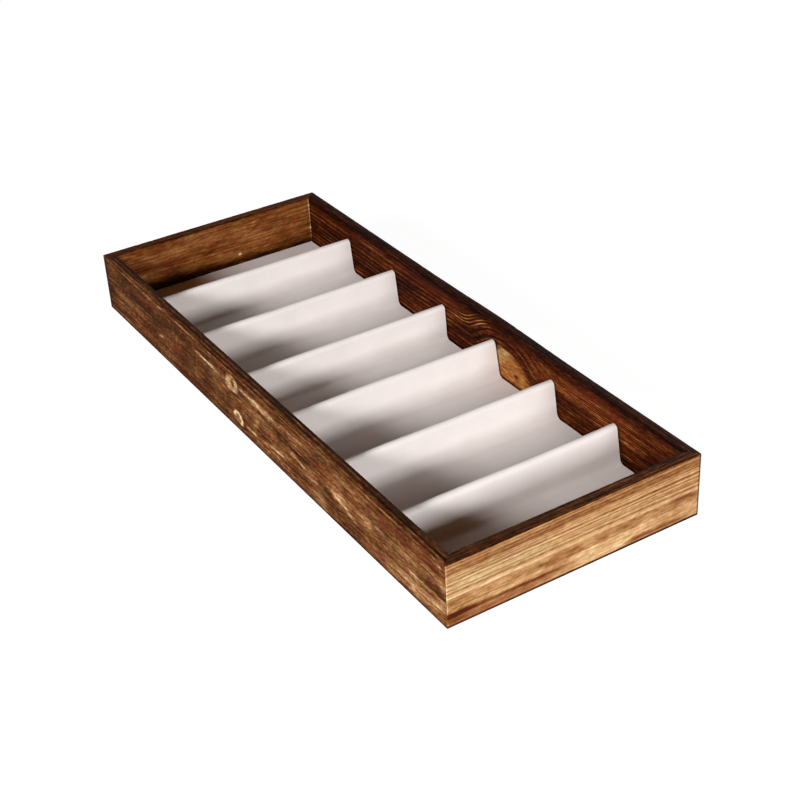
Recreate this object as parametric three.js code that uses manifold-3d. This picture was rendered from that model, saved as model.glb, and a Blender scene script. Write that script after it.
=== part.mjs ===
// An open tray that keeps folded eyeglasses apart. Four pine boards are mitred and pinned into a
// shallow box, a thin panel is let into a rebate under them, and a loose insert lies on the panel:
// one sheet of covered card, bent up into ridges that part the tray into compartments.
//
// Millimetres, +Z up. The origin is the centre of the underside, X runs along the tray.
// The near end is at +X, and the left side is at -Y.

import * as THREE from 'three';
import { mergeVertices } from 'three/addons/utils/BufferGeometryUtils.js';
import Module from 'manifold-3d';

const wasm = await Module();
wasm.setup();

// Driving dimensions of the box
const boxLength = 460;
const boxWidth = 180;
const boxHeight = 44;
const boardThickness = 8;
const arrisRadius = 1;
const cornerRadius = 1.5;
const mitreGlueLine = 0.3;

// The panel that closes the box from below, and the rebate that it lies in
const panelThickness = 4;
const rebateWidth = 4.5;
const panelFit = 0.3;

// The loose insert: a suede-like cover bonded on card
const coverThickness = 0.8;
const cardThickness = 1.8;
const bondLine = 0.1;
const insertEndGap = 1;
const insertSideGap = 1.2;

// The ridges of the insert, measured on the cover's upper face
const ridgeCount = 6;
const ridgePitch = 64.4;
const ridgeHeight = 25.6;
const crestRadius = 3.2;
const foldRadius = 4;
const flankLean = THREE.MathUtils.degToRad(10);

// Brads through the corner mitres
const bradLength = 20;
const bradRadius = 0.6;
const bradHeadRadius = 0.95;
const bradHeadThickness = 0.8;
const lowerBradHeight = 14;
const bradSpacing = 17;

// Pins that hold the panel up in its rebate
const pinLength = 13;
const pinRadius = 0.6;
const pinHeadRadius = 1.2;
const pinHeadThickness = 0.6;
const pinPitch = 150;

// Every fastener is driven a little below the face, and sits in its hole with this clearance
const sinkDepth = 0.2;
const pointLength = 2;
const holeClearance = 0.1;

// Facets on curved stretches
const arcSteps = 2;
const bendSteps = 4;
const roundSides = 10;

const xAxis = new THREE.Vector3(1, 0, 0);
const yAxis = new THREE.Vector3(0, 1, 0);
const zAxis = new THREE.Vector3(0, 0, 1);

const tray = new THREE.Group();
tray.name = 'eyeglasses_tray';

// A closed geometry becomes a solid for cutting, and comes back as a geometry
function toSolid(geometry) {
  const bare = geometry.clone();
  bare.deleteAttribute('normal');
  bare.deleteAttribute('uv');
  const merged = mergeVertices(bare, 1e-5);
  const mesh = new wasm.Mesh({
    numProp: 3,
    vertProperties: new Float32Array(merged.attributes.position.array),
    triVerts: new Uint32Array(merged.index.array),
  });
  return new wasm.Manifold(mesh);
}

function toGeometry(solid) {
  const mesh = solid.getMesh();
  const geometry = new THREE.BufferGeometry();
  geometry.setAttribute('position', new THREE.BufferAttribute(mesh.vertProperties, 3));
  geometry.setIndex(new THREE.BufferAttribute(mesh.triVerts, 1));
  geometry.computeVertexNormals();
  return geometry;
}

function finish(color, roughness, metalness = 0) {
  return new THREE.MeshStandardMaterial({ color, roughness, metalness });
}

const stainedPine = finish(0x7d5132, 0.62);
const litPine = finish(0xb98955, 0.6);
const plywood = finish(0xb59a75, 0.75);
const steel = finish(0x55524f, 0.4, 0.9);
const greyCard = finish(0xb9b2a6, 0.9);
const paleSuede = finish(0xd8cfcb, 0.95);

function addPiece(name, geometry, material, position, turn = 0) {
  const mesh = new THREE.Mesh(geometry, material);
  mesh.name = name;
  mesh.position.copy(position);
  mesh.rotation.z = turn;
  mesh.updateMatrix();
  tray.add(mesh);
  return mesh;
}

// A board of the box lies along X with its outer face on Y = 0 and its inner face towards +Y.
// Its section has sanded arrises and the rebate for the panel at its inner bottom edge.
function boardSection() {
  const lip = boardThickness - rebateWidth;
  const r = arrisRadius;
  const section = new THREE.Shape();
  section.moveTo(r, 0);
  section.lineTo(lip, 0);
  section.lineTo(lip, panelThickness);
  section.lineTo(boardThickness, panelThickness);
  section.lineTo(boardThickness, boxHeight - r);
  section.absarc(boardThickness - r, boxHeight - r, r, 0, Math.PI / 2, false);
  section.lineTo(r, boxHeight);
  section.absarc(r, boxHeight - r, r, Math.PI / 2, Math.PI, false);
  section.lineTo(0, r);
  section.absarc(r, r, r, Math.PI, Math.PI * 1.5, false);
  return section;
}

// The board seen from above: a trapezium with mitred ends, whose outer tips follow the
// rounded upright corner of the box and whose mitres stand back by half the glue line.
function boardPlan(length) {
  const half = length / 2;
  const r = cornerRadius;
  const back = mitreGlueLine / 2;
  // On the rounded corner the mitre cut falls short of the diagonal by this angle
  const stop = Math.asin(back / r);
  const start = Math.PI * 1.5;
  const innerHalf = half - boardThickness - back * Math.SQRT2;
  const plan = new THREE.Shape();
  plan.moveTo(-half + r, 0);
  plan.lineTo(half - r, 0);
  plan.absarc(half - r, r, r, start, start + Math.PI / 4 - stop, false);
  plan.lineTo(innerHalf, boardThickness);
  plan.lineTo(-innerHalf, boardThickness);
  plan.absarc(-half + r, r, r, start - Math.PI / 4 + stop, start, false);
  return plan;
}

function boardGeometry(length) {
  const settings = { depth: length, bevelEnabled: false, curveSegments: arcSteps };
  const moulding = new THREE.ExtrudeGeometry(boardSection(), settings);
  moulding.applyMatrix4(new THREE.Matrix4().makeBasis(yAxis, zAxis, xAxis));
  moulding.translate(-length / 2, 0, 0);

  const depth = boxHeight * 2;
  const planSettings = { depth, bevelEnabled: false, curveSegments: arcSteps };
  const mitred = new THREE.ExtrudeGeometry(boardPlan(length), planSettings);
  mitred.translate(0, 0, -depth / 4);
  return toGeometry(toSolid(moulding).intersect(toSolid(mitred)));
}

// A brad or pin is turned about its own axis: its head is near the origin and its point
// towards +Y. Grown by a clearance and left open past the head, it is the hole it sits in.
function nailGeometry(nail, clearance = 0) {
  const shank = nail.radius + clearance;
  const head = nail.headRadius + clearance;
  const top = clearance > 0 ? -sinkDepth : sinkDepth;
  const underHead = sinkDepth + nail.headThickness + clearance;
  const tip = sinkDepth + nail.length + clearance;
  const profile = [
    new THREE.Vector2(0, top),
    new THREE.Vector2(head, top),
    new THREE.Vector2(head, underHead),
    new THREE.Vector2(shank, underHead),
    new THREE.Vector2(shank, tip - pointLength),
    new THREE.Vector2(0, tip),
  ];
  return new THREE.LatheGeometry(profile, roundSides);
}

const brad = {
  length: bradLength,
  radius: bradRadius,
  headRadius: bradHeadRadius,
  headThickness: bradHeadThickness,
};
const pin = {
  length: pinLength,
  radius: pinRadius,
  headRadius: pinHeadRadius,
  headThickness: pinHeadThickness,
};

const ends = [
  { name: 'near', sign: 1 },
  { name: 'far', sign: -1 },
];
const sides = [
  { name: 'left', sign: -1 },
  { name: 'right', sign: 1 },
];

// Two brads cross each mitre: they go in through the side board and along the end board,
// down the middle of its thickness.
function cornerBrads() {
  const heights = [
    { name: 'lower', z: lowerBradHeight },
    { name: 'upper', z: lowerBradHeight + bradSpacing },
  ];
  const places = [];
  for (const end of ends) {
    for (const side of sides) {
      for (const height of heights) {
        const x = end.sign * (boxLength / 2 - boardThickness / 2);
        places.push({
          name: `corner_brad_${end.name}_${side.name}_${height.name}`,
          at: new THREE.Vector3(x, side.sign * boxWidth / 2, height.z),
          into: new THREE.Vector3(0, -side.sign, 0),
          nail: brad,
        });
      }
    }
  }
  return places;
}

// The panel is pinned from below, along the middle of the rebate
function panelPins() {
  const inset = boardThickness - rebateWidth / 2;
  const places = [];
  for (const side of sides) {
    for (const step of [-1, 0, 1]) {
      places.push({
        name: `panel_pin_${side.name}_${step + 2}`,
        at: new THREE.Vector3(step * pinPitch, side.sign * (boxWidth / 2 - inset), 0),
        into: zAxis,
        nail: pin,
      });
    }
  }
  for (const end of ends) {
    places.push({
      name: `panel_pin_${end.name}`,
      at: new THREE.Vector3(end.sign * (boxLength / 2 - inset), 0, 0),
      into: zAxis,
      nail: pin,
    });
  }
  return places;
}

function placeMatrix(place) {
  const turn = new THREE.Quaternion().setFromUnitVectors(yAxis, place.into);
  return new THREE.Matrix4().compose(place.at, turn, new THREE.Vector3(1, 1, 1));
}

// Cuts the hole of every fastener that passes through a piece
function drill(piece, places) {
  const intoPiece = piece.matrix.clone().invert();
  let solid = toSolid(piece.geometry);
  for (const place of places) {
    const hole = nailGeometry(place.nail, holeClearance);
    hole.applyMatrix4(placeMatrix(place));
    hole.applyMatrix4(intoPiece);
    solid = solid.subtract(toSolid(hole));
  }
  piece.geometry = toGeometry(solid);
}

// The four boards
const sideBoard = boardGeometry(boxLength);
const endBoard = boardGeometry(boxWidth);
const leftPlace = new THREE.Vector3(0, -boxWidth / 2, 0);
const rightPlace = new THREE.Vector3(0, boxWidth / 2, 0);
const nearPlace = new THREE.Vector3(boxLength / 2, 0, 0);
const farPlace = new THREE.Vector3(-boxLength / 2, 0, 0);
const woodwork = [
  addPiece('side_board_left', sideBoard, stainedPine, leftPlace),
  addPiece('side_board_right', sideBoard, stainedPine, rightPlace, Math.PI),
  addPiece('end_board_near', endBoard, litPine, nearPlace, Math.PI / 2),
  addPiece('end_board_far', endBoard, stainedPine, farPlace, -Math.PI / 2),
];

// The base panel fills the rebate, flush with the underside
const lipAndFit = boardThickness - rebateWidth + panelFit;
const panelLength = boxLength - 2 * lipAndFit;
const panelWidth = boxWidth - 2 * lipAndFit;
const panel = new THREE.BoxGeometry(panelLength, panelWidth, panelThickness);
woodwork.push(addPiece('base_panel', panel, plywood, new THREE.Vector3(0, 0, panelThickness / 2)));

const fasteners = [...cornerBrads(), ...panelPins()];
for (const piece of woodwork) {
  drill(piece, fasteners);
}
for (const place of fasteners) {
  const mesh = new THREE.Mesh(nailGeometry(place.nail), steel);
  mesh.name = place.name;
  mesh.applyMatrix4(placeMatrix(place));
  tray.add(mesh);
}

// The insert. Its section is one line of flat floors, fold arcs, leaning flanks and crest
// arcs. A layer that lies lower in the sheet follows the same line at a set depth, so its
// folds are wider, its crests are tighter, and the sheet keeps one thickness throughout.
const sheetThickness = coverThickness + bondLine + cardThickness;
const floorTop = panelThickness + sheetThickness;
const insertLength = boxLength - 2 * (boardThickness + insertEndGap);
const insertWidth = boxWidth - 2 * (boardThickness + insertSideGap);

// From a crest's centre line to where its fold runs out into the floor
const rise = ridgeHeight - crestRadius - foldRadius;
const foldReach = (crestRadius + foldRadius + rise * Math.sin(flankLean)) / Math.cos(flankLean);

function sheetLine(depth) {
  const crest = crestRadius - depth;
  const fold = foldRadius + depth;
  const foldCentre = floorTop + foldRadius;
  const crestCentre = floorTop + ridgeHeight - crestRadius;
  const line = new THREE.Path();
  const firstCrest = -(ridgeCount - 1) / 2 * ridgePitch;
  line.moveTo(-insertLength / 2, floorTop - depth);
  line.lineTo(firstCrest - foldReach, floorTop - depth);
  for (let i = 0; i < ridgeCount; i += 1) {
    const x = firstCrest + i * ridgePitch;
    line.absarc(x - foldReach, foldCentre, fold, -Math.PI / 2, -flankLean, false);
    line.absarc(x, crestCentre, crest, Math.PI - flankLean, flankLean, true);
    line.absarc(x + foldReach, foldCentre, fold, Math.PI + flankLean, Math.PI * 1.5, false);
  }
  line.lineTo(insertLength / 2, floorTop - depth);
  return line.getPoints(bendSteps);
}

function layerGeometry(topDepth, thickness) {
  const upper = sheetLine(topDepth);
  const lower = sheetLine(topDepth + thickness);
  const outline = new THREE.Shape([...lower, ...upper.reverse()]);
  const layer = new THREE.ExtrudeGeometry(outline, { depth: insertWidth, bevelEnabled: false });
  const downY = new THREE.Vector3(0, -1, 0);
  layer.applyMatrix4(new THREE.Matrix4().makeBasis(xAxis, zAxis, downY));
  layer.translate(0, insertWidth / 2, 0);
  return layer;
}

const atRest = new THREE.Vector3(0, 0, 0);
const card = layerGeometry(coverThickness + bondLine, cardThickness);
addPiece('insert_card', card, greyCard, atRest);
addPiece('insert_cover', layerGeometry(0, coverThickness), paleSuede, atRest);

export default tray;
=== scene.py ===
import math

import bmesh
import bpy
from mathutils import Matrix, Vector, noise


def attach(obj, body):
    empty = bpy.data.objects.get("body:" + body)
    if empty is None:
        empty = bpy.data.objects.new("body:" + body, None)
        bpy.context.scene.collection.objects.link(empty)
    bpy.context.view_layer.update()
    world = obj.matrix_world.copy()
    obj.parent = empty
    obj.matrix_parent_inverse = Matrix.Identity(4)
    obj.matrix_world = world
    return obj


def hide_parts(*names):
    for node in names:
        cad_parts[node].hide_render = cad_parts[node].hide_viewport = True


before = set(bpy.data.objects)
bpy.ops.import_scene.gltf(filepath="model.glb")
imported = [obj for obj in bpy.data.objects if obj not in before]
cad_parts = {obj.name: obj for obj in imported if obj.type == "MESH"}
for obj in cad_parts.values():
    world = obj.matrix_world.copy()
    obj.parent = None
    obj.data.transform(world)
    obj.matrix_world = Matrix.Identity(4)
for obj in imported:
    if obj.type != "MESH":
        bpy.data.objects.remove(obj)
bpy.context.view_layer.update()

# Base panel
# A sheet of thin plywood with a raw birch face, let into the rebate of the boards from below
# and pinned. It stays as the solid it is. It shows from below, and inside with the insert out.
mm = 0.001


class Wire:
    """A socket in a node tree. Arithmetic on wires adds the Math nodes that work it out."""

    def __init__(self, tree, socket=None):
        self.tree = tree
        self.socket = socket

    def node(self, kind, settings=None, values=None, output=0):
        """Adds one node: first its settings, then the values or links of its sockets."""
        made = self.tree.nodes.new(kind)
        for name, setting in (settings or {}).items():
            if name == "stops":
                fill_ramp(made.color_ramp, setting)
            else:
                setattr(made, name, setting)
        for name, value in (values or {}).items():
            put(self.tree, pick(made.inputs, name), value)
        return Wire(self.tree, pick(made.outputs, output))

    def math(self, operation, *others):
        values = dict(enumerate((self, *others)))
        return self.node("ShaderNodeMath", {"operation": operation}, values)

    def __add__(self, other):
        return self.math("ADD", other)

    def __sub__(self, other):
        return self.math("SUBTRACT", other)

    def __rsub__(self, other):
        return self.node("ShaderNodeMath", {"operation": "SUBTRACT"}, {0: other, 1: self})

    def __mul__(self, other):
        return self.math("MULTIPLY", other)

    def __truediv__(self, other):
        return self.math("DIVIDE", other)

    def __neg__(self):
        return self.math("MULTIPLY", -1)

    __radd__ = __add__
    __rmul__ = __mul__


def pick(sockets, key):
    """A socket in use, by its name or its place in the row."""
    used = [socket for socket in sockets if socket.enabled]
    if isinstance(key, int):
        return used[key]
    return next(socket for socket in used if socket.name == key)


def put(tree, socket, value):
    """Links a wire to a socket, or sets the socket to a plain value."""
    if isinstance(value, Wire):
        tree.links.new(value.socket, socket)
    else:
        socket.default_value = value


def fill_ramp(ramp, stops):
    """Stops are a place from 0 to 1 and a colour each."""
    while len(ramp.elements) < len(stops):
        ramp.elements.new(1)
    for element, (place, colour) in zip(ramp.elements, stops):
        element.position = place
        element.color = colour


def tint(red, green, blue):
    """A colour written as on a screen, 0 to 255, made linear."""
    def linear(level):
        share = level / 255
        return share / 12.92 if share <= 0.04045 else ((share + 0.055) / 1.055) ** 2.4
    return (linear(red), linear(green), linear(blue), 1)


def new_finish(name):
    """A material with only its shader, and a wire to add nodes from."""
    material = bpy.data.materials.new(name)
    material.use_nodes = True
    return material, Wire(material.node_tree)


def connect(material, values):
    """Sets or links sockets of the material's own shader."""
    shader = material.node_tree.nodes["Principled BSDF"]
    for name, value in values.items():
        put(material.node_tree, shader.inputs[name], value)


def split(vector):
    """The three parts of a vector wire."""
    return [vector.node("ShaderNodeSeparateXYZ", values={0: vector}, output=i) for i in range(3)]


def place_in_mm(tools):
    """Where a spot is on the object, as three wires in millimetres."""
    place = tools.node("ShaderNodeTexCoord", output="Object")
    return [part / mm for part in split(place)]


def cloud(a, b, c, detail=2, roughness=0.5):
    """Noise around zero, about -0.5 to 0.5, on three wires that are already in grains."""
    where = a.node("ShaderNodeCombineXYZ", values={0: a, 1: b, 2: c})
    texture = a.node("ShaderNodeTexNoise",
                     values={"Vector": where, "Scale": 1, "Detail": detail, "Roughness": roughness})
    return texture - 0.5


def ease(value, low, high):
    """0 below low, 1 above high and smooth between them; low may be the larger."""
    return value.node("ShaderNodeMapRange", {"interpolation_type": "SMOOTHSTEP"},
                      {"Value": value, "From Min": low, "From Max": high})


def bump(tools, height, depth, strength=1.0):
    """Raises the surface by up to depth where height is 1."""
    return tools.node("ShaderNodeBump", output="Normal", values={
        "Height": height, "Distance": depth, "Strength": strength})


def colours(value, stops):
    """The colour that a row of stops gives for a value from 0 to 1."""
    return value.node("ShaderNodeValToRGB", {"stops": stops}, {0: value})


def blend(share, first, second):
    """Goes from the first colour to the second as share goes from 0 to 1."""
    return share.node("ShaderNodeMix", {"data_type": "RGBA"}, {0: share, 1: first, 2: second})


def raw_plywood():
    material, tools = new_finish("raw plywood")
    x, y, z = place_in_mm(tools)
    figure = cloud(x / 260, y / 22, z / 30, detail=3)
    fibre = cloud(x / 20, y / 0.7, z / 4)
    ply = ease(cloud(z / 0.9, z / 900, z / 900, detail=0), -0.1, 0.12)
    tone = 0.5 + figure * 0.9 + fibre * 0.35 - ply * 0.1
    connect(material, {
        "Base Color": colours(tone, [
            (0.1, tint(142, 112, 78)), (0.5, tint(186, 154, 112)), (0.9, tint(214, 188, 148))]),
        "Roughness": 0.74 + fibre * 0.2,
        "Normal": bump(tools, fibre, 0.12 * mm, 0.6),
    })
    return material


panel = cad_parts["base_panel"]
panel.data.materials.clear()
panel.data.materials.append(raw_plywood())

# Boards in general
# Each board is a length of the same small moulding: 8 mm pine, 44 mm high, with its arrises
# sanded round, a rebate for the panel, and its ends cut to a mitre and glued up tight.
board_thickness = 8
board_height = 44
box_length = 460
box_width = 180
arris_radius = 0.6
corner_radius = 1.0
glue_line = 0.06
rebate_height = 4
rebate_width = 4.5
arris_points = 5
face_steps = 8
station_step = 3.0
end_stations = (0.0, 0.4, 0.8, 1.2, 1.6)
weld_distance = 0.001
board_crease = math.radians(35)
wear_zone = 6


def board_section():
    """Depth from the outer face and height, once round the board, arrises with a few points."""
    lip = board_thickness - rebate_width
    r = arris_radius
    points = [(lip, 0.0), (lip, rebate_height), (board_thickness, rebate_height)]
    corners = [
        (board_thickness - r, board_height - r, 0),
        (r, board_height - r, 90),
        (r, r, 180),
    ]
    runs = [(board_thickness, rebate_height, board_height - r), None, (0, board_height - r, r)]
    for (depth, height, start), run in zip(corners, runs):
        if run:
            face, low, high = run
            for step in range(1, face_steps):
                points.append((face, low + (high - low) * step / face_steps))
        for step in range(arris_points):
            turn = math.radians(start + 90 * step / (arris_points - 1))
            points.append((depth + r * math.cos(turn), height + r * math.sin(turn)))
        if start == 0:
            points.append((board_thickness / 2, board_height))
    return points


def board_mesh(name, length, wear):
    """Sweeps the section along X from mitre to mitre. wear(u, depth, height) moves a point."""
    half = length / 2
    back = glue_line / math.sqrt(2)
    tip = corner_radius * (1 - math.sqrt(0.5)) + back / 2
    section = board_section()
    count = round(length / station_step)
    inset = end_stations[-1]
    shares = [-1 + end / half for end in end_stations]
    shares += [-1 + (inset + (length - 2 * inset) * i / count) / half for i in range(1, count)]
    shares += [1 - end / half for end in reversed(end_stations)]
    mesh = bmesh.new()
    rings = []
    for share in shares:
        ring = []
        for depth, height in section:
            u = share * (half - max(depth, tip) - back / 2)
            overrun = abs(u) - (half - corner_radius)
            if overrun > 0:
                reach = min(overrun, corner_radius)
                depth = max(depth, corner_radius - math.sqrt(corner_radius ** 2 - reach ** 2))
            point = Vector((u, depth, height)) + Vector(wear(u, depth, height))
            ring.append(mesh.verts.new(point * mm))
        rings.append(ring)
    for first, second in zip(rings, rings[1:]):
        for i in range(len(section)):
            j = (i + 1) % len(section)
            mesh.faces.new((first[i], first[j], second[j], second[i]))
    mesh.faces.new(rings[0])
    mesh.faces.new(list(reversed(rings[-1])))
    bmesh.ops.remove_doubles(mesh, verts=mesh.verts, dist=weld_distance * mm)
    bmesh.ops.recalc_face_normals(mesh, faces=mesh.faces)
    data = bpy.data.meshes.new(name)
    mesh.to_mesh(data)
    mesh.free()
    data.shade_smooth()
    data.set_sharp_from_angle(angle=board_crease)
    board = bpy.data.objects.new(name, data)
    bpy.context.scene.collection.objects.link(board)
    return board


def sanded(seed, amount=0.12):
    """The slight unevenness that scorching and a wire brush leave, most of it on the arrises."""
    def wear(u, depth, height):
        wave = noise.noise(Vector((u / 22, seed, height / 9)))
        nick = noise.noise(Vector((u / 4, seed + 9, depth)))
        top = max(0, (height - (board_height - wear_zone)) / wear_zone)
        return (0, 0, -(0.5 + 0.5 * wave) * amount * top - max(0, nick - 0.25) * 0.5 * top)
    return wear


def place_board(board, turn, at):
    """Turns and moves the board's mesh, so that the object itself stays at the origin."""
    board.data.transform(Matrix.Translation(Vector(at) * mm) @ Matrix.Rotation(turn, 4, "Z"))


def bell(value, width):
    """1 where the value is 0, and falling smoothly to nothing at about twice the width."""
    scaled = value / width
    return (-(scaled * scaled)).math("EXPONENT")


def streak(u, w, at, size, slope=0.0):
    """A soft lengthwise mark: its middle, half its length and height, and its slope."""
    along = (u - at[0]) / size[0]
    square = along * along
    return (-(square * square)).math("EXPONENT") * bell(w - at[1] - (u - at[0]) * slope, size[1])


def marks(u, w, rows):
    """Several streaks together, each with its strength."""
    total = 0
    for at, size, slope, strength in rows:
        total = streak(u, w, at, size, slope) * strength + total
    return total


def knot(u, w, at, size):
    """Distance from a knot's heart, 1 at its rim."""
    a = (u - at[0]) / size[0]
    b = (w - at[1]) / size[1]
    return (a * a + b * b).math("SQRT")


def growth_lines(u, v, spacing, width, seed):
    """Thin lines along the rings at a fairly even spacing, 1 on a line, that fade in and out."""
    drift = cloud(u / 170 + seed, v / 16, v / 400, detail=1)
    phase = v / spacing + drift * 1.6
    apart = (phase.math("FRACT") - 0.5).math("ABSOLUTE") * 2
    fade = ease(cloud(u / 34, v / 3.2, seed + v / 90, detail=1), -0.22, 0.18)
    return ease(apart, width, width * 0.35) * fade


def scorched_pine(name, along, stops, figure, seed, mottle, leaning):
    """Pine grain. figure gets the wires along, across and through the board and returns how light
    each spot is, from 0 to 1 on the stops, how proud it stands, and how red and how olive it is.
    Mottle is how much the fibres differ, and leaning how far patches lean to red and to olive."""
    material, tools = new_finish(name)
    x, y, z = place_in_mm(tools)
    u, t = (x, y) if along == "x" else (y, x)
    slow = cloud(u / 150 + seed, z / 40, t / 40, detail=1)
    quick = cloud(u / 42 + seed, z / 11, t / 24, detail=2)
    torn = cloud(u / 8 + seed, z / 2.4, t / 9, detail=3, roughness=0.6)
    tone, relief, red, olive = figure(u, z, t, slow, quick, torn, seed)
    fibre = cloud(u / 12, (z + quick * 1.5) / 0.9, t / 1.2 + seed, detail=3, roughness=0.7)
    fleck = cloud(u / 4.5 + seed, (z - u * 0.15) / 1.7, t / 1.7, detail=3, roughness=0.65)
    tone = tone + (fibre * 0.6 + fleck * 0.6) * mottle
    lean = cloud(u / 13, z / 4 + seed, t / 10, detail=3, roughness=0.7)
    sheen = cloud(u / 30, z / 6, t / 9 + seed)
    paint = blend(red.math("MINIMUM", 0.8), colours(tone, stops), tint(112, 44, 24))
    leant = paint.node("ShaderNodeHueSaturation", values={
        "Color": paint, "Hue": 0.5 + lean * leaning + olive * 0.02, "Saturation": 1 - olive * 0.12})
    connect(material, {
        "Base Color": leant,
        "Roughness": 0.66 - tone * 0.15 + sheen * 0.2,
        "Normal": bump(tools, relief + fibre * 0.5 + fleck * 0.25, 0.3 * mm, 0.6),
        "Specular IOR Level": 0.02,
    })
    return material


# Left side board
# Flat-sawn pine with two pale knots, whose rings part around them; stained, scorched and
# brushed to a mid brown. Its outer face is the long one that shows.
umber_stops = [
    (0.0, tint(14, 9, 6)), (0.15, tint(40, 21, 9)), (0.3, tint(64, 34, 14)),
    (0.4, tint(84, 47, 22)), (0.5, tint(103, 62, 32)), (0.62, tint(129, 84, 48)),
    (0.76, tint(163, 118, 78)), (0.9, tint(200, 162, 119)), (1.0, tint(229, 198, 158)),
]


def left_figure(u, w, t, slow, quick, torn, seed):
    fu = u + torn * 16
    fw = w + torn * 4
    first_knot = knot(u + torn * 9, w + torn * 3, (-21.5, 34.2), (9.5, 6.6))
    second_knot = knot(u + torn * 7, w + torn * 2, (-17, 9.5), (7.5, 6.2))
    part_first = bell(first_knot, 1.8) * 0.75
    part_second = bell(second_knot, 1.8) * 0.75
    v = w + slow * 13 + quick * 4 - (w - 33.5) * part_first - (w - 11) * part_second
    rings = cloud(u / 300, v / 2.4, t / 60 + seed, detail=3, roughness=0.62)
    lines = growth_lines(u, v, 3.9, 0.6, seed)
    broad = cloud(u / 80, v / 8, t / 60 + seed, detail=1)
    stain = cloud(u / 26 + seed, w / 11, t / 30, detail=3)
    nearer = ease(u, -120, 200)
    tone = 0.43 + nearer * 0.13 + rings * (0.58 - nearer * 0.26) + broad * (0.3 + nearer * 0.24)
    tone = tone + stain * (0.5 + nearer * 0.4) - lines * 0.12 + torn * (1 - nearer) * 0.2
    heart = ease(first_knot, 1.12, 0.8)
    eye = ease(knot(u + torn * 4, w + torn * 2, (-20, 35), (2.7, 3.0)), 1.2, 0.5)
    arch = bell(second_knot - 0.72, 0.22) * ease(w + u * 0.5, -3.5, 1.5)
    hollow = ease(second_knot, 0.6, 0.3)
    pale = heart * 0.44 - eye * 0.36 + arch * 0.66 + hollow * 0.12
    pale = pale + marks(fu, fw, (
        ((-62, 33.6), (13, 1.2), -0.01, 0.56),
        ((-42, 33.2), (14, 2.4), 0.03, 0.2),
        ((13, 34.9), (30, 2.2), -0.035, 0.37),
        ((62, 22.2), (12, 1.5), -0.28, 0.34),
        ((2, 9.2), (8, 1.2), 0.02, 0.3),
        ((33, 12.0), (15, 1.2), 0.1, 0.36),
        ((11, 20.5), (4, 4.5), 0.3, 0.2),
        ((120, 18.8), (14, 1.8), -0.22, 0.34),
        ((-129, 43.0), (5, 0.9), 0.2, 0.4),
        ((-134, 18.4), (4, 1.2), 0.2, 0.44),
        ((198, 10.5), (28, 4.2), 0.0, 0.2),
        ((172, 12.5), (70, 6), 0.0, 0.08),
        ((190, 17.2), (46, 0.9), -0.01, 0.1),
        ((207, 27.5), (20, 3.4), 0.0, 0.13),
        ((150, 42.6), (90, 0.7), 0.0, 0.1),
        ((-190, 22), (26, 2.5), 0.0, 0.12),
        ((-206, 3.4), (20, 1.6), 0.0, 0.2),
        ((222, 40.5), (5, 1.8), -0.5, 0.3)))
    dark = marks(fu, fw, (
        ((36, 28.8), (40, 1.5), -0.09, 0.16),
        ((190, 21.3), (50, 0.9), -0.05, 0.1),
        ((-92, 4.4), (26, 1.6), 0.0, 0.26),
        ((-190, 27.5), (24, 1.4), 0.05, 0.14),
        ((-52, 6), (34, 1.1), -0.01, 0.16),
        ((-36, 38.4), (34, 1.1), 0.03, 0.14),
        ((10, 39.5), (20, 1.0), 0.0, 0.14),
        ((217, 35.5), (9, 3.2), -0.35, 0.12),
        ((200, 36.0), (45, 4.0), -0.03, 0.1),
        ((130, 9.2), (30, 1.0), -0.03, 0.14)))
    tone = tone + pale - dark
    shoulder = ease(w + slow * 6, 38, 42.5)
    top = ease(w, 43.2, 43.7)
    # Darker along the bottom: partly the scorched arris, partly painted contact shadow where the
    # board meets the floor.
    base_scorch_and_painted_shade = ease(w, 2.4, 0.7)
    far_end = ease(u + torn * 10, -220, -229)
    tone = tone * (1 - shoulder * 0.16) * (1 - base_scorch_and_painted_shade * 0.7) * (1 - far_end * 0.48)
    brushed = cloud(u / 70, (t + slow * 5) / 1.1, seed + w / 60, detail=3, roughness=0.65)
    inner = ease(t, -85.2, -83.2)
    rim_tone = 0.33 + brushed * 1.4 - inner * 0.18 + ease(u, 90, 210) * inner * 0.14
    rim_tone = rim_tone + bell(t + slow + 88.4, 0.7) * 0.2 - bell(t + slow + 86.8, 0.7) * 0.15
    rim_tone = rim_tone + bell(t + slow + 85.0, 0.6) * 0.1
    tone = tone * (1 - top) + rim_tone * top
    patchy = ease(cloud(u / 45, seed, seed), -0.25, 0.05)
    bare = bell(w - 42.9, 0.6) * ease(t, -88.6, -89.4) * patchy
    tone = tone + bare * 0.28 * ease(u, 170, 70)
    olive = (pale * 0.8).math("MAXIMUM", 0) + eye * 0.8 + hollow * 0.6
    olive = olive + ease(cloud(u / 36, w / 9, seed + 5), 0.06, 0.26) * 0.6 * (1 - top)
    red = marks(fu, fw, (
        ((-36, 42.4), (4.5, 1.8), 0.15, 0.6),
        ((-107, 19.5), (9, 3.5), 0.1, 0.4),
        ((160, 8.8), (20, 1.2), 0.05, 0.5),
        ((-92, 4.2), (24, 1.4), 0.0, 0.5),
        ((-165, 9), (24, 3.5), 0.1, 0.25),
        ((-165, 36), (20, 1.6), 0.0, 0.4),
        ((195, 35), (44, 3.5), -0.03, 0.3),
        ((110, 30), (30, 5), -0.1, 0.2),
        ((214, 42), (12, 1.6), -0.1, 0.4)))
    return tone, rings * 1.2 - lines * 0.4 + pale * 0.5, red * (1 - top * 0.6), olive


knock_place = 226
knock_length = 6
knock_height = 3
knock_depth = 4
knock_shift = (0, 0.7, -0.9)


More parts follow.
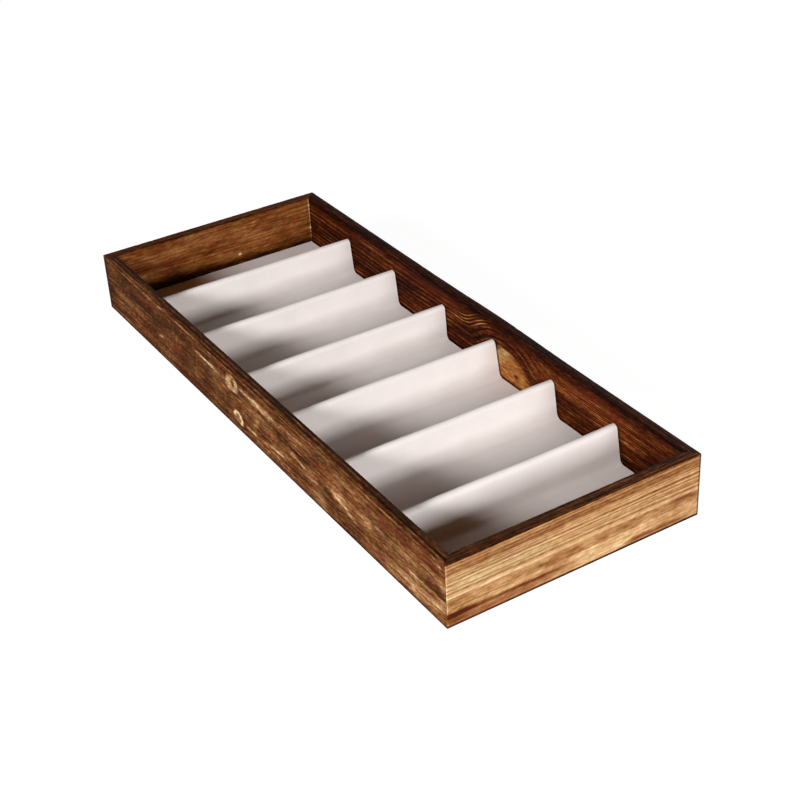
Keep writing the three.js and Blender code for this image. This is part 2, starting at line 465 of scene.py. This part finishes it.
def left_wear(u, depth, height):
    """Sanded, and with its near top corner knocked."""
    along = math.exp(-((u - knock_place) / knock_length) ** 2)
    up = max(0, (height - (board_height - knock_height)) / knock_height)
    knock = along * up * max(0, 1 - depth / knock_depth)
    return Vector(sanded(1)(u, depth, height)) + Vector(knock_shift) * knock


left_board = board_mesh("left_board", box_length, left_wear)
place_board(left_board, 0, (0, -box_width / 2, 0))
left_board.data.materials.append(scorched_pine(
    "left pine", "x", umber_stops, left_figure, seed=3.1, mottle=1.25, leaning=0.1))
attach(left_board, "box")
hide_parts("side_board_left")

# Right side board
# The darkest board: red-brown, with fine pale grain lines that sweep up over a plain honey
# patch beside its knot. Its inner face shows between the ridges, and it bows out a little.
oxblood_stops = [
    (0.0, tint(11, 5, 3)), (0.12, tint(30, 9, 3)), (0.25, tint(54, 18, 4)),
    (0.35, tint(70, 29, 8)), (0.48, tint(92, 43, 14)), (0.62, tint(122, 66, 27)),
    (0.8, tint(156, 100, 50)), (1.0, tint(208, 164, 116)),
]


def right_figure(u, w, t, slow, quick, torn, seed):
    heart = knot(u, w, (42, 6), (31, 23))
    climb = (heart * 23 + 6 - w).math("SMOOTH_MIN", 15, 8)
    v = w + slow * 5 + quick * 1.6 + climb
    rings = cloud(u / 500, v / 1.7, t / 60 + seed, detail=3, roughness=0.62)
    swirl = streak(u, w, (6, 36), (32, 9), 0.25)
    past = ease(u, 30, 90)
    wide = growth_lines(u, v, 3.5, 0.62, seed)
    close = growth_lines(u, v, 2.3, 0.66, seed + 1)
    fine = growth_lines(u, v, 1.7, 0.7, seed + 2)
    crowded = (swirl + past).math("MINIMUM", 1)
    lines = wide * (1 - crowded) + close * (crowded - past) + fine * past
    stain = cloud(u / 50 + seed, w / 16, t / 30, detail=2)
    tone = 0.195 + lines * (0.27 + past * 0.06) + rings * (0.5 + past * 0.2) + stain * 0.5
    tone = tone + past * (0.1 - ease(w, 26, 14) * 0.12) + ease(u, -40, 0) * 0.02
    tone = tone + swirl * (lines * 0.46 - 0.02) + marks(u, w, (
        ((-150, 36), (50, 8), 0.0, 0.11),
        ((-60, 36), (26, 8), 0.0, -0.05),
        ((204, 25), (24, 12), 0.0, -0.09)))
    patch = ease(heart + torn * 0.5 + quick * 0.2 - lines * 0.08, 1.2, 0.88) * ease(t, 84, 83)
    faded = ease(w - u * 0.7, -16, 0)
    plain = 0.7 + stain * 0.3 + rings * 0.2 + faded * 0.17
    tone = tone * (1 - patch) + patch * plain
    olive = patch * (0.1 + faded)
    eye = ease(knot(u, w, (56.5, 14), (2.4, 1.8)), 1.3, 0.5)
    tone = tone - eye * 0.26
    shoulder = ease(w + slow * 6, 37, 42)
    top = ease(w, 42.6, 43.6)
    # Darker just above the insert's floor: painted shadow of the gap between the insert and this
    # board, partly scorching.
    base_scorch_and_painted_shade = ease(w, 8.5, 6.5)
    tone = tone * (1 - shoulder * 0.52) * (1 - base_scorch_and_painted_shade * 0.5)
    brushed = cloud(u / 40, (t + slow * 5) / 1.1, seed + w / 60, detail=3, roughness=0.7)
    tone = tone * (1 - top) + (0.13 + brushed * 1.5) * top
    red = marks(u, w, (((-40, 37), (30, 5), 0.0, 0.25), ((150, 36), (30, 5), 0.0, 0.25)))
    return tone, lines * 0.8 + rings * 0.6, red * (1 - top), olive


bow_depth = 1.2
bow_place = -30
bow_length = 48
bow_foot = 18


def right_wear(u, depth, height):
    """Sanded, and bowed outwards along its top, a little nearer than the middle."""
    swell = math.exp(-((u - bow_place) / bow_length) ** 2)
    bow = bow_depth * swell * max(0, (height - bow_foot) / (board_height - bow_foot)) ** 2
    return Vector(sanded(2)(u, depth, height)) - Vector((0, bow, 0))


right_board = board_mesh("right_board", box_length, right_wear)
place_board(right_board, math.pi, (0, box_width / 2, 0))
right_board.data.materials.append(scorched_pine(
    "right pine", "x", oxblood_stops, right_figure, seed=7.7, mottle=1.0, leaning=0.07))
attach(right_board, "box")
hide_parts("side_board_right")

# Near end board
# The brightest board, straight-grained and barely scorched: straw and tan stripes above a
# plain tan zone, with a dark resin streak low at its left end.
straw_stops = [
    (0.0, tint(19, 11, 6)), (0.2, tint(73, 39, 18)), (0.38, tint(121, 73, 38)),
    (0.5, tint(151, 103, 61)), (0.6, tint(173, 126, 81)), (0.7, tint(191, 147, 100)),
    (0.81, tint(211, 171, 123)), (0.91, tint(230, 195, 149)), (1.0, tint(252, 228, 187)),
]


def near_figure(u, w, t, slow, quick, torn, seed):
    v = w + slow * 2 + quick * 0.9 - (u + 90) * 0.008 * ease(w, 22, 40)
    fw = w + torn * 1.6
    rings = cloud(u / 700, v / 1.05, t / 60 + seed, detail=3, roughness=0.65)
    stain = cloud(u / 30 + seed, w / 9, t / 30, detail=3)
    blotch = cloud(u / 9 + seed, w / 3, t / 30, detail=2)
    plain = ease(w + slow * 3, 20, 17.5)
    tone = 0.68 - ease(w, 33, 37.5) * 0.1 - ease(w, 43, 43.8) * 0.14 + ease(w, 13, 9) * 0.05
    tone = tone + rings * (1.2 - plain * 0.8) + stain * (0.2 + plain * 0.4) + blotch * plain * 0.45
    for height, half_height, strength in (
            (42.5, 0.7, -0.07), (40.2, 0.5, -0.1), (38.5, 0.7, -0.18), (36.4, 0.6, -0.06),
            (33.7, 1.0, -0.02), (31.2, 0.6, -0.22), (27.6, 1.7, -0.04), (25.2, 0.4, -0.12),
            (23.0, 0.7, -0.16), (20.5, 0.6, 0.28), (18.6, 0.5, -0.1)):
        tone = tone + bell(v - height, half_height) * strength
    tone = tone + marks(u, fw, (
        ((0, 15.2), (130, 3.0), 0.0, -0.08),
        ((-20, 11.2), (110, 0.8), 0.0, 0.1),
        ((-58, 28), (36, 2.6), 0.0, 0.07),
        ((-92, 8.2), (20, 3.0), -0.03, -0.52),
        ((-50, 7.6), (42, 1.4), -0.01, -0.42),
        ((-70, 3.6), (42, 2.4), 0.0, -0.17),
        ((58, 4.0), (24, 1.4), 0.0, -0.16)))
    red = marks(u + torn * 14, fw, (
        ((-66, 7.9), (66, 1.6), -0.012, 0.45),
        ((-68, 3.2), (46, 2.6), 0.0, 0.58),
        ((17.5, 15), (3.5, 1.6), 0.0, 0.4),
        ((78, 18.0), (12, 2.2), -0.05, 0.75),
        ((60, 3.6), (22, 1.6), 0.0, 0.55),
        ((44, 16), (60, 3), 0.0, 0.12),
        ((60, 37.5), (30, 1.6), 0.0, 0.2)))
    olive = marks(u, fw, (((-62, 28), (38, 7), 0.0, 0.55), ((10, 27), (60, 4), 0.0, 0.25)))
    top = ease(w, 43.3, 43.8)
    # Darker along the bottom, most towards the right: partly the scorched arris, partly painted
    # contact shadow where the board meets the floor.
    base_scorch_and_painted_shade = ease(w, 2.3, 1.3) * (0.8 + ease(u, -20, 80) * 0.12)
    # Lighter up the left-hand corner: a painted highlight where the rounded arris catches the
    # light.
    corner = ease(u, -88.8, -89.5)
    right_end = ease(u, 88.0, 89.2)
    tone = tone * (1 - base_scorch_and_painted_shade) * (1 - right_end * 0.75) + corner * 0.12 * (1 - base_scorch_and_painted_shade)
    brushed = cloud(u / 50, (t + slow * 5) / 1.1, seed + w / 60, detail=3, roughness=0.65)
    inner = ease(t, 224.5, 222.8)
    rim_tone = 0.135 + ease(u, 20, -60) * 0.05 + brushed * 1.1 - inner * 0.09
    rim_tone = rim_tone + cloud(u / 26, seed, t / 12 + seed) * 0.5
    tone = tone * (1 - top) + rim_tone * top
    return tone, rings * 0.8, red * (1 - top), olive * (1 - top)


end_board_near = board_mesh("near_board", box_width, sanded(3))
place_board(end_board_near, math.pi / 2, (box_length / 2, 0, 0))
end_board_near.data.materials.append(scorched_pine(
    "near pine", "y", straw_stops, near_figure, seed=12.3, mottle=0.78, leaning=0.06))
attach(end_board_near, "box")
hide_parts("end_board_near")

# Far end board
# Orange-brown pine with a level grain, darker low down: partly scorched, partly painted shade
# where the insert's floor meets it. Dried glue shows as a pale line up its right-hand corner.
amber_stops = [
    (0.0, tint(14, 7, 4)), (0.15, tint(40, 18, 6)), (0.3, tint(74, 36, 12)),
    (0.42, tint(100, 51, 18)), (0.55, tint(118, 65, 28)), (0.7, tint(139, 86, 45)),
    (0.88, tint(168, 116, 69)), (1.0, tint(222, 190, 156)),
]


def far_figure(u, w, t, slow, quick, torn, seed):
    v = w + slow * 4 + quick * 2.4
    rings = cloud(u / 130, v / 1.8, t / 60 + seed, detail=3, roughness=0.65)
    stain = cloud(u / 22 + seed, w / 7, t / 30, detail=3)
    tone = 0.56 + rings * 0.95 + stain * 0.8 + bell(w - 34, 3.5) * 0.12 - bell(w - 24, 2.5) * 0.06
    tone = (tone + bell(w - 17.5, 3) * 0.1).math("SMOOTH_MIN", 0.8, 0.25)
    # Darker low down: partly scorching, partly painted shade where the insert's floor meets the
    # board.
    low_scorch_and_painted_shade = ease(w + u * 0.02 + slow * 4 + torn * 2, 13.5, 8)
    tone = tone * (1 - low_scorch_and_painted_shade * 0.64)
    inside = ease(t, -223.5, -222.5)
    glue = ease(u, 80.4, 81.5) * ease(cloud(w / 5, seed, seed), -0.5, 0.2)
    fleck = ease(knot(u, w + torn * 2, (18, 14.4), (1.5, 1.1)), 1.6, 0.3)
    tone = tone + (glue * 0.38 + fleck * 0.6) * inside
    top = ease(w, 42.9, 43.6)
    brushed = cloud(u / 50, (t + slow * 5) / 1.1, seed + w / 60, detail=3, roughness=0.65)
    tone = tone * (1 - top) + (0.28 + brushed * 1.1) * top
    red = marks(u + torn * 10, w, (
        ((-74, 42), (5, 1.2), 0.0, 0.5),
        ((-46, 25), (26, 3), 0.0, 0.35)))
    return tone, rings * 0.8, red * inside * (1 - top), glue * inside * 0.3


end_board_far = board_mesh("far_board", box_width, sanded(4))
place_board(end_board_far, -math.pi / 2, (-box_length / 2, 0, 0))
end_board_far.data.materials.append(scorched_pine(
    "far pine", "y", amber_stops, far_figure, seed=21.9, mottle=1.1, leaning=0.07))
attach(end_board_far, "box")
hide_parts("end_board_far")

# Brads and pins
# Wire nails: two brads across each corner mitre and eight pins up through the panel, driven
# just under the face. The brads' holes are filled flush and stained over, so no head shows.
brad = {"Length": 20, "Shank Radius": 0.6, "Head Radius": 0.95, "Head Height": 0.8}
pin = {"Length": 13, "Shank Radius": 0.6, "Head Radius": 1.2, "Head Height": 0.6}
sink_depth = 0.2
point_length = 2.0
neck_taper = 1.1
tip_share = 0.1
nail_sides = 20
nail_crease = math.radians(40)
brad_inset = 4.0
brad_heights = (14, 31)
pin_inset = 5.75
side_pin_places = (-150, 0, 150)


def new_tree(name, inputs):
    """A node group that changes the geometry it gets, with named inputs for its sizes."""
    tree = bpy.data.node_groups.new(name, "GeometryNodeTree")
    tree.is_modifier = True
    tree.interface.new_socket("Geometry", in_out="INPUT", socket_type="NodeSocketGeometry")
    tree.interface.new_socket("Geometry", in_out="OUTPUT", socket_type="NodeSocketGeometry")
    for label, kind in inputs:
        tree.interface.new_socket(label, in_out="INPUT", socket_type="NodeSocket" + kind)
    group_in = tree.nodes.new("NodeGroupInput")
    return {socket.name: Wire(tree, socket) for socket in group_in.outputs if socket.name}


def end_tree(geometry, finish):
    """Ends a tree with plain faces in the given material."""
    real = geometry.node("GeometryNodeRealizeInstances", values={"Geometry": geometry})
    done = real.node("GeometryNodeSetMaterial", values={"Geometry": real, "Material": finish})
    group_out = done.tree.nodes.new("NodeGroupOutput")
    done.tree.links.new(done.socket, group_out.inputs["Geometry"])
    return done.tree


def one_of(index, values):
    """The value whose place in the row is the index."""
    switch = index.tree.nodes.new("GeometryNodeIndexSwitch")
    switch.data_type = "FLOAT"
    for _ in values[2:]:
        switch.index_switch_items.new()
    put(index.tree, switch.inputs["Index"], index)
    for socket, value in zip(switch.inputs[1:], values):
        put(index.tree, socket, value)
    return Wire(index.tree, switch.outputs[0])


def nail_tree():
    """Turns one wire nail and drives a copy in at every point, the way the point aims."""
    size = new_tree("wire nails", [
        ("Length", "Float"), ("Shank Radius", "Float"), ("Head Radius", "Float"),
        ("Head Height", "Float"), ("Point Length", "Float"), ("Finish", "Material")])
    head, shank = size["Head Radius"], size["Shank Radius"]
    neck = size["Head Height"]
    shoulder = size["Length"] - size["Point Length"]
    along = [0.0, neck, neck * neck_taper, shoulder, size["Length"]]
    radii = [head, head, shank, shank, shank * tip_share]
    index = head.node("GeometryNodeInputIndex")
    line = head.node("GeometryNodeCurvePrimitiveLine")
    line = head.node("GeometryNodeResampleCurve", values={"Curve": line, "Count": len(along)})
    place = head.node("ShaderNodeCombineXYZ", values={2: one_of(index, along)})
    line = head.node("GeometryNodeSetPosition", values={"Geometry": line, "Position": place})
    rim = head.node("GeometryNodeCurvePrimitiveCircle", values={
        "Resolution": nail_sides, "Radius": 1.0})
    nail = head.node("GeometryNodeCurveToMesh", values={
        "Curve": line, "Profile Curve": rim, "Scale": one_of(index, radii), "Fill Caps": True})
    aim = head.node("GeometryNodeInputNamedAttribute", {"data_type": "FLOAT_VECTOR"},
                    {"Name": "aim"})
    turn = head.node("FunctionNodeAlignRotationToVector", {"axis": "Z"}, {"Vector": aim})
    points = head.node("GeometryNodeMeshToPoints", values={"Mesh": size["Geometry"]})
    driven = head.node("GeometryNodeInstanceOnPoints", values={
        "Points": points, "Instance": nail, "Rotation": turn})
    return end_tree(driven, size["Finish"])


def grown(name, tree, values, start=None):
    """Runs a tree with these inputs on a mesh and returns the result as a plain mesh piece."""
    seedling = bpy.data.objects.new(name + " start", start or bpy.data.meshes.new(name + " start"))
    bpy.context.scene.collection.objects.link(seedling)
    modifier = seedling.modifiers.new("shape", "NODES")
    modifier.node_group = tree
    for socket in tree.interface.items_tree:
        if socket.item_type == "SOCKET" and socket.name in values:
            modifier[socket.identifier] = values[socket.name]
    depsgraph = bpy.context.evaluated_depsgraph_get()
    data = bpy.data.meshes.new_from_object(seedling.evaluated_get(depsgraph))
    data.name = name
    bpy.data.objects.remove(seedling)
    piece = bpy.data.objects.new(name, data)
    bpy.context.scene.collection.objects.link(piece)
    return piece


def dull_steel():
    material, tools = new_finish("fastener steel")
    x, y, z = place_in_mm(tools)
    rust = cloud(x / 0.8, y / 0.8, z / 0.8, detail=3)
    connect(material, {
        "Base Color": colours(0.5 + rust, [(0.2, tint(52, 40, 30)), (0.8, tint(96, 84, 72))]),
        "Metallic": 0.8,
        "Roughness": 0.5 + rust * 0.3,
    })
    return material


def driven(name, tree, nail, heads, finish):
    """Nails as one piece. Each head has its place on the face and the way the nail goes in."""
    start = bpy.data.meshes.new(name + " heads")
    start.from_pydata([(Vector(at) + Vector(aim) * sink_depth) * mm for at, aim in heads], [], [])
    start.attributes.new("aim", "FLOAT_VECTOR", "POINT")
    for item, (at, aim) in zip(start.attributes["aim"].data, heads):
        item.vector = aim
    values = {size: length * mm for size, length in nail.items()}
    values.update({"Point Length": point_length * mm, "Finish": finish})
    piece = grown(name, tree, values, start)
    piece.data.shade_smooth()
    piece.data.set_sharp_from_angle(angle=nail_crease)
    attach(piece, "box")
    return piece


nails = nail_tree()
steel = dull_steel()
brad_x = box_length / 2 - brad_inset
brad_heads = [((end * brad_x, side * box_width / 2, height), (0, -side, 0))
              for end in (1, -1) for side in (-1, 1) for height in brad_heights]
pin_side = box_width / 2 - pin_inset
pin_end = box_length / 2 - pin_inset
pin_heads = [((x, side * pin_side, 0), (0, 0, 1)) for side in (-1, 1) for x in side_pin_places]
pin_heads += [((end * pin_end, 0, 0), (0, 0, 1)) for end in (1, -1)]
corner_brads = driven("corner_brads", nails, brad, brad_heads, steel)
panel_pins = driven("panel_pins", nails, pin, pin_heads, steel)
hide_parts(*[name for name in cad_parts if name.startswith("corner_brad")])
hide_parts(*[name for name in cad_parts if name.startswith("panel_pin")])

# Insert
# One soft sheet lies loose on the panel: pale suede bonded on card and bent up into six
# ridges. One tree bends a flat slab by the rule of the bend: crest, flank, fold and floor.
# Handling has pushed the crests a little out of line, and they wave a little.
ridge_pitch = 64.4
ridge_height = 25.6
crest_radius = 3.2
fold_radius = 4.0
flank_angle = math.radians(80)
panel_top = 4.0
cover_thickness = 0.8
bond_line = 0.1
card_thickness = 1.8
end_gap = 1.0
side_gap = 1.2
crest_shifts = [0.6, 0.9, 2.4, -1.0, 0.2, 0.5]
crest_wave = 0.8
wave_length = 55
sag_length = 80
sheet_columns = 677
card_rows = 30
cover_rows = 54
sheet_crease = math.radians(40)
ridge_count = len(crest_shifts)
floor_top = panel_top + card_thickness + bond_line + cover_thickness
insert_length = box_length - 2 * (board_thickness + end_gap)
insert_width = box_width - 2 * (board_thickness + side_gap)
rise = ridge_height - crest_radius - fold_radius
sine, cosine = math.sin(flank_angle), math.cos(flank_angle)
reach = (crest_radius + fold_radius + rise * cosine) / sine
flank_length = (rise + (crest_radius + fold_radius) * cosine) / sine
cloth_per_ridge = 2 * ((crest_radius + fold_radius) * flank_angle + flank_length)
cloth_pitch = ridge_pitch - 2 * reach + cloth_per_ridge
cloth_length = insert_length + ridge_count * (cloth_per_ridge - 2 * reach)


def bend_tree():
    """Bends a slab that lies flat in X and Y, once over each ridge."""
    size = new_tree("bent sheet", [
        ("Ridge Pitch", "Float"), ("Crest Radius", "Float"), ("Fold Radius", "Float"),
        ("Flank Length", "Float"), ("Cloth Pitch", "Float"), ("Cloth Length", "Float"),
        ("Width", "Float"), ("Floor Top", "Float"), ("Ridge Height", "Float"),
        ("Depth", "Float"), ("Thickness", "Float"), ("Crest Wave", "Float"),
        ("Columns", "Int"), ("Rows", "Int"), ("Finish", "Material")])
    tools = size["Width"]
    extent = tools.node("ShaderNodeCombineXYZ", values={
        0: size["Cloth Length"], 1: size["Width"], 2: 1.0})
    slab = tools.node("GeometryNodeMeshCube", output="Mesh", values={
        "Size": extent, "Vertices X": size["Columns"], "Vertices Y": size["Rows"], "Vertices Z": 2})
    s, y, layer = split(tools.node("GeometryNodeInputPosition"))
    flat = tools.node("ShaderNodeCombineXYZ", values={0: s, 1: y, 2: 0.0})
    slab = tools.node("GeometryNodeStoreNamedAttribute", {"data_type": "FLOAT_VECTOR"},
                      {"Geometry": slab, "Name": "flat cloth", "Value": flat})
    half = ridge_count / 2
    ridge = (s / size["Cloth Pitch"]).math("FLOOR").math("MAXIMUM", -half).math("MINIMUM", half - 1)
    index = ridge + 0.5
    local = s - index * size["Cloth Pitch"]
    side = local.math("SIGN")
    out = local.math("ABSOLUTE")
    crest, fold, flank = size["Crest Radius"], size["Fold Radius"], size["Flank Length"]
    crest_run = out.math("MINIMUM", crest * flank_angle)
    past_crest = out - crest_run
    flank_run = past_crest.math("MINIMUM", flank)
    past_flank = past_crest - flank_run
    fold_run = past_flank.math("MINIMUM", fold * flank_angle)
    floor_run = past_flank - fold_run
    over = crest_run / crest
    back = fold_run / fold
    left = flank_angle - back
    across = (crest * over.math("SINE") + flank_run * cosine
              + fold * (sine - left.math("SINE")) + floor_run)
    down = (crest * (1 - over.math("COSINE")) + flank_run * sine
            + fold * (left.math("COSINE") - cosine))
    slope = over - back
    depth = size["Depth"] + size["Thickness"] * (0.5 - layer)
    x = index * size["Ridge Pitch"] + side * (across - depth * slope.math("SINE"))
    above = size["Ridge Height"] - down - depth * slope.math("COSINE")
    share = (above / size["Ridge Height"]).math("MAXIMUM", 0)
    shift = one_of(ridge + half, [shift * mm for shift in crest_shifts])
    wave = cloud(y / (wave_length * mm), index * 5.3, index, detail=1) * size["Crest Wave"]
    dip = cloud(y / (sag_length * mm), index * 3.7, index, detail=1)
    sag = ease(dip, 0, 0.4) * size["Crest Wave"]
    x = x + (shift + wave * 2) * share
    z = size["Floor Top"] + above - sag * share * 0.6
    bent = tools.node("ShaderNodeCombineXYZ", values={0: x, 1: y, 2: z})
    shaped = tools.node("GeometryNodeSetPosition", values={"Geometry": slab, "Position": bent})
    return end_tree(shaped, size["Finish"])


def sheet_finish(name, low, high, grain, depth, roughness):
    """Soft mottled sheet with a short nap that follows the cloth, not the box."""
    material, tools = new_finish(name)
    cloth = tools.node("ShaderNodeAttribute", {"attribute_name": "flat cloth"}, output="Vector")
    s, y, z = [part / mm for part in split(cloth)]
    nap = cloud(s / grain, y / grain, z, detail=3, roughness=0.65)
    stroked = cloud(s / 9, y / 16, z, detail=3, roughness=0.6)
    mottle = cloud(s / 30, y / 22, z, detail=3)
    tone = 0.5 + nap * 0.5 + stroked * 0.35 + mottle * 0.6
    connect(material, {
        "Base Color": colours(tone, [(0.15, low), (0.85, high)]),
        "Roughness": roughness + nap * 0.1,
        "Normal": bump(tools, nap + stroked, depth, 0.5),
        "Specular IOR Level": 0.1,
    })
    return material


suede = sheet_finish("pale suede", tint(230, 221, 217), tint(244, 237, 234),
                     grain=0.9, depth=0.12 * mm, roughness=0.9)
connect(suede, {"Specular IOR Level": 0.0, "Sheen Weight": 0.15, "Sheen Roughness": 0.5})
grey_card = sheet_finish("grey card", tint(168, 160, 148), tint(196, 188, 176),
                         grain=0.4, depth=0.05 * mm, roughness=0.85)
sheet_tree = bend_tree()


def bent_sheet(name, depth, thickness, columns, rows, finish):
    """The bent sheet whose upper face lies at this depth under the cloth's face."""
    sizes = {
        "Ridge Pitch": ridge_pitch, "Crest Radius": crest_radius, "Fold Radius": fold_radius,
        "Flank Length": flank_length, "Cloth Pitch": cloth_pitch, "Cloth Length": cloth_length,
        "Width": insert_width, "Floor Top": floor_top, "Ridge Height": ridge_height,
        "Depth": depth, "Thickness": thickness, "Crest Wave": crest_wave,
    }
    values = {size: length * mm for size, length in sizes.items()}
    values.update({"Columns": columns, "Rows": rows, "Finish": finish})
    piece = grown(name, sheet_tree, values)
    piece.data.shade_smooth()
    piece.data.set_sharp_from_angle(angle=sheet_crease)
    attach(piece, "insert")
    return piece


card = bent_sheet("card_sheet", cover_thickness + bond_line, card_thickness,
                  sheet_columns, card_rows, grey_card)
cover = bent_sheet("suede_cover", 0.0, cover_thickness, sheet_columns, cover_rows, suede)
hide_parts("insert_card")
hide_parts("insert_cover")
cloth_length * mm

# Floor and light
# A white studio floor, two soft lamps low beyond the near end and the left side, a third
# lower still beyond the right side, and a weak amber fill all round. Here, and for the
# camera, sizes are in metres. The floor glows nearly white and keeps the box's soft shadow.
floor_size = 6.0
shadow_reach = 0.9
floor_glow = 0.92
floor_lit_share = 0.25
corner_signs = ((-1, -1), (1, -1), (1, 1), (-1, 1))
floor_corners = [(x * floor_size, y * floor_size, 0) for x, y in corner_signs]
floor_data = bpy.data.meshes.new("floor")
floor_data.from_pydata(floor_corners, [], [(0, 1, 2, 3)])
floor = bpy.data.objects.new("floor", floor_data)
bpy.context.scene.collection.objects.link(floor)
floor_paint = bpy.data.materials.new("white floor")
floor_paint.use_nodes = True
paper = Wire(floor_paint.node_tree)
paper_nodes = floor_paint.node_tree.nodes
paper_nodes.remove(paper_nodes["Principled BSDF"])
seen = paper.node("ShaderNodeLightPath", output="Is Camera Ray")
matt = paper.node("ShaderNodeBsdfDiffuse", values={"Color": tint(225, 225, 225)})
glow = paper.node("ShaderNodeEmission", values={"Color": (1, 1, 1, 1), "Strength": floor_glow})
white = paper.node("ShaderNodeEmission", values={"Color": (1, 1, 1, 1), "Strength": 1})
faint_grey = (floor_lit_share, floor_lit_share, floor_lit_share, 1)
faint = paper.node("ShaderNodeBsdfDiffuse", values={"Color": faint_grey})
lit = paper.node("ShaderNodeAddShader", values={0: glow, 1: faint})
across, along, _ = split(paper.node("ShaderNodeTexCoord", output="Object"))
away = ease((across * across + along * along).math("SQRT"), shadow_reach / 2, shadow_reach)
lit = paper.node("ShaderNodeMixShader", values={0: away, 1: lit, 2: white})
floor_mix = paper.node("ShaderNodeMixShader", values={0: seen, 1: matt, 2: lit})
put(floor_paint.node_tree, paper_nodes["Material Output"].inputs["Surface"], floor_mix)
floor_data.materials.append(floor_paint)

world = bpy.data.worlds.new("studio")
bpy.context.scene.world = world
world.use_nodes = True
sky = Wire(world.node_tree)
background = world.node_tree.nodes["Background"]
fill_strength = 0.026
fill_colour = tint(255, 170, 90)
white_to = ("Is Camera Ray", "Is Glossy Ray", "Is Transmission Ray")
shown = sum(sky.node("ShaderNodeLightPath", output=kind) for kind in white_to).math("MINIMUM", 1)
put(world.node_tree, background.inputs["Strength"], shown * (1 - fill_strength) + fill_strength)
put(world.node_tree, background.inputs["Color"], blend(shown, fill_colour, (1, 1, 1, 1)))


def softbox(name, azimuth, elevation, size, level, distance=2.5):
    """A rectangular lamp that faces the box. Level is the light it gives a surface facing it,
    where 1 shows a colour as it is written; azimuth turns from +X towards -Y."""
    around, up = math.radians(-azimuth), math.radians(elevation)
    level_part = math.cos(up)
    towards = Vector((level_part * math.cos(around), level_part * math.sin(around), math.sin(up)))
    data = bpy.data.lights.new(name, "AREA")
    data.shape = "RECTANGLE"
    data.size, data.size_y = size
    data.energy = level * (math.pi * distance) ** 2
    made = bpy.data.objects.new(name, data)
    bpy.context.scene.collection.objects.link(made)
    made.location = towards * distance
    made.rotation_euler = towards.to_track_quat("Z", "Y").to_euler()


softbox("end lamp", azimuth=-2, elevation=19.5, size=(0.98, 0.41), level=0.585, distance=1.85)
softbox("side lamp", azimuth=72, elevation=23.5, size=(2.4, 0.45), level=1.2)
softbox("back lamp", azimuth=-114, elevation=5.5, size=(1.6, 0.25), level=0.72)

# Camera
# Solved from the box's corners in the photograph; the frame is square. Its place is in metres,
# and its heading, its tilt down from level and its roll are in degrees.
camera_place = (0.79027, -0.44289, 0.56443)
heading = 59.419
tilt_down = 32.066
roll = -3.234
view = bpy.data.cameras.new("view")
view.lens = 70.77
view.sensor_width = 36
view.sensor_fit = "HORIZONTAL"
camera = bpy.data.objects.new("view", view)
bpy.context.scene.collection.objects.link(camera)
turn = Matrix.Rotation(math.radians(heading), 4, "Z")
turn = turn @ Matrix.Rotation(math.radians(90 - tilt_down), 4, "X")
turn = turn @ Matrix.Rotation(math.radians(roll), 4, "Z")
camera.matrix_world = Matrix.Translation(camera_place) @ turn
bpy.context.scene.camera = camera
bpy.context.scene.view_settings.view_transform = "Standard"
